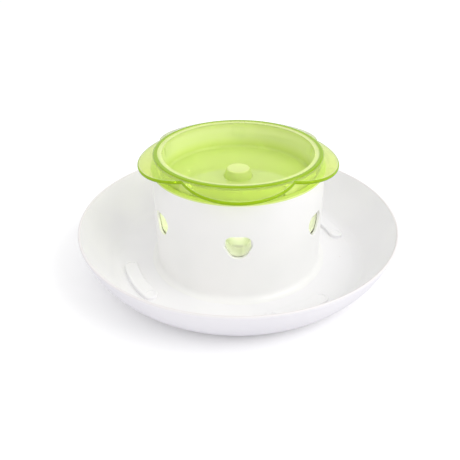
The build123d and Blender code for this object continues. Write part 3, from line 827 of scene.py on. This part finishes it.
def make_drum():
    """A merged copy of the drum, its flared foot lowered until it meets the tray without a step."""
    copy = bpy.data.meshes.new("drum_blended")
    skin = bmesh.new()
    skin.from_mesh(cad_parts["drum"].data)
    bmesh.ops.remove_doubles(skin, verts=skin.verts, dist=MERGE_WITHIN * MM)
    start, toe, top = DRUM_FOOT["start"], DRUM_FOOT["toe"], DRUM_FOOT["height"]
    floor = DRUM_FOOT["floor"] + DRUM_FOOT["over_floor"]
    drop = DRUM_FOOT["step"] - DRUM_FOOT["left"]
    for vert in skin.verts:
        radius, height = math.hypot(vert.co.x, vert.co.y) / MM, vert.co.z / MM
        if radius > start and floor < height < top:
            share = min(1.0, (radius - start) / (toe - start))
            vert.co.z -= drop * share**DRUM_FOOT_BEND * MM
    skin.to_mesh(copy)
    skin.free()
    drum = shape("drum_blended", copy, DRUM_SHARP)
    drum.modifiers.new("even_shading", "WEIGHTED_NORMAL").keep_sharp = True
    stand_in(drum, "base", "drum")


make_screws()
make_spring()
make_pin()
make_nut()
make_washer()
make_drum()


# ------------------------------------------------------------------ studio
AMBIENT = 0.955  # the world's light on the object, against 1 where it is seen
KEY_LAMP = {  # metres
    "place": (1.3, -0.65, 1.35), "aim": (0.0, 0.0, 0.05), "size": 1.0, "watts": 11.0}
INSIDE_LAMPS = {"count": 6, "circle": 52.0, "height": 60.0, "watts": 0.0027}  # millimetres
LIGHT_BOUNCES = 32  # enough to pass through every green layer and back
FLOOR_BOUNCE = (0.82, 0.81, 0.85, 1.0)  # the floor's colour to all light but the camera's
FLOOR_LIFT = 0.05  # keeps the shadow on the floor light
FLOOR_RADIUS = 6.0  # metres
FLOOR_SIDES = 128
CAMERA_PLACE = (0.0, -407.1 * MM, 277.9 * MM)
CAMERA_PITCH = 31.76  # degrees below level
CAMERA_NEAR = 0.01  # metres
IMAGE_WIDTH = 460
FOCAL_PIXELS = 522.24
AXIS_PIXEL = 238.3  # where the button's axis crosses the image, from the left
SENSOR = 36.0  # millimetres


def make_world():
    """Even studio light, plain white to the camera, in reflections and through clear plastic."""
    world = bpy.data.worlds.new("studio")
    bpy.context.scene.world = world
    world.use_nodes = True
    sky = Tree(world.node_tree)
    path = sky.node("ShaderNodeLightPath").outputs
    seen = path["Is Camera Ray"]
    for name in ("Is Glossy Ray", "Is Transmission Ray"):
        seen = sky.math("MAXIMUM", seen, path[name])
    background = world.node_tree.nodes["Background"].inputs
    sky.feed(background["Color"], PLAIN_WHITE)
    sky.feed(background["Strength"], sky.spread(seen, AMBIENT, 1.0))


def make_floor():
    """A wide white floor that keeps the dispenser's shadow."""
    mesh = bpy.data.meshes.new("floor")
    turns = [FULL_TURN * step / FLOOR_SIDES for step in range(FLOOR_SIDES)]
    ring = [(FLOOR_RADIUS * math.cos(turn), FLOOR_RADIUS * math.sin(turn), 0.0) for turn in turns]
    mesh.from_pydata(ring, [], [list(range(FLOOR_SIDES))])
    finish = Finish("floor_white")
    seen = finish.node("ShaderNodeLightPath").outputs["Is Camera Ray"]
    finish.set(Base_Color=finish.mix(seen, FLOOR_BOUNCE, PLAIN_WHITE), Roughness=1.0,
               Specular_IOR_Level=0.0, Emission_Color=PLAIN_WHITE,
               Emission_Strength=finish.spread(seen, 0.0, FLOOR_LIFT))
    mesh.materials.append(finish.material)
    floor = add_object("floor", mesh)


def make_key_lamp():
    """A large square lamp to the right, aimed at the drum."""
    lamp = bpy.data.lights.new("key", "AREA")
    lamp.shape = "SQUARE"
    lamp.size = KEY_LAMP["size"]
    lamp.energy = KEY_LAMP["watts"]
    holder = add_object("key", lamp)
    holder.location = KEY_LAMP["place"]
    aim = Vector(KEY_LAMP["aim"]) - Vector(KEY_LAMP["place"])
    holder.rotation_euler = aim.to_track_quat("-Z", "Y").to_euler()


def make_inside_lamps():
    """Small lamps in the hopper, for the light that its milky walls would carry to the outlets."""
    circle, height = mm(INSIDE_LAMPS["circle"], INSIDE_LAMPS["height"])
    for step in range(INSIDE_LAMPS["count"]):
        turn = FULL_TURN * step / INSIDE_LAMPS["count"]
        lamp = bpy.data.lights.new("inside", "POINT")
        lamp.shadow_soft_size = 0.0
        lamp.energy = INSIDE_LAMPS["watts"]
        holder = add_object("inside", lamp)
        holder.location = (circle * math.sin(turn), -circle * math.cos(turn), height)


def make_camera():
    """The camera in front of the dispenser, looking down at it."""
    camera = bpy.data.cameras.new("camera")
    camera.sensor_width = SENSOR
    camera.lens = SENSOR * FOCAL_PIXELS / IMAGE_WIDTH
    camera.shift_x = (IMAGE_WIDTH / 2 - AXIS_PIXEL) / IMAGE_WIDTH
    camera.clip_start = CAMERA_NEAR
    holder = add_object("camera", camera)
    holder.location = CAMERA_PLACE
    holder.rotation_euler = (math.radians(90 - CAMERA_PITCH), 0.0, 0.0)
    bpy.context.scene.camera = holder


make_world()
make_floor()
make_key_lamp()
make_inside_lamps()
make_camera()
bpy.context.scene.view_settings.view_transform = "Standard"
bpy.context.scene.cycles.max_bounces = LIGHT_BOUNCES
bpy.context.scene.cycles.transmission_bounces = LIGHT_BOUNCES
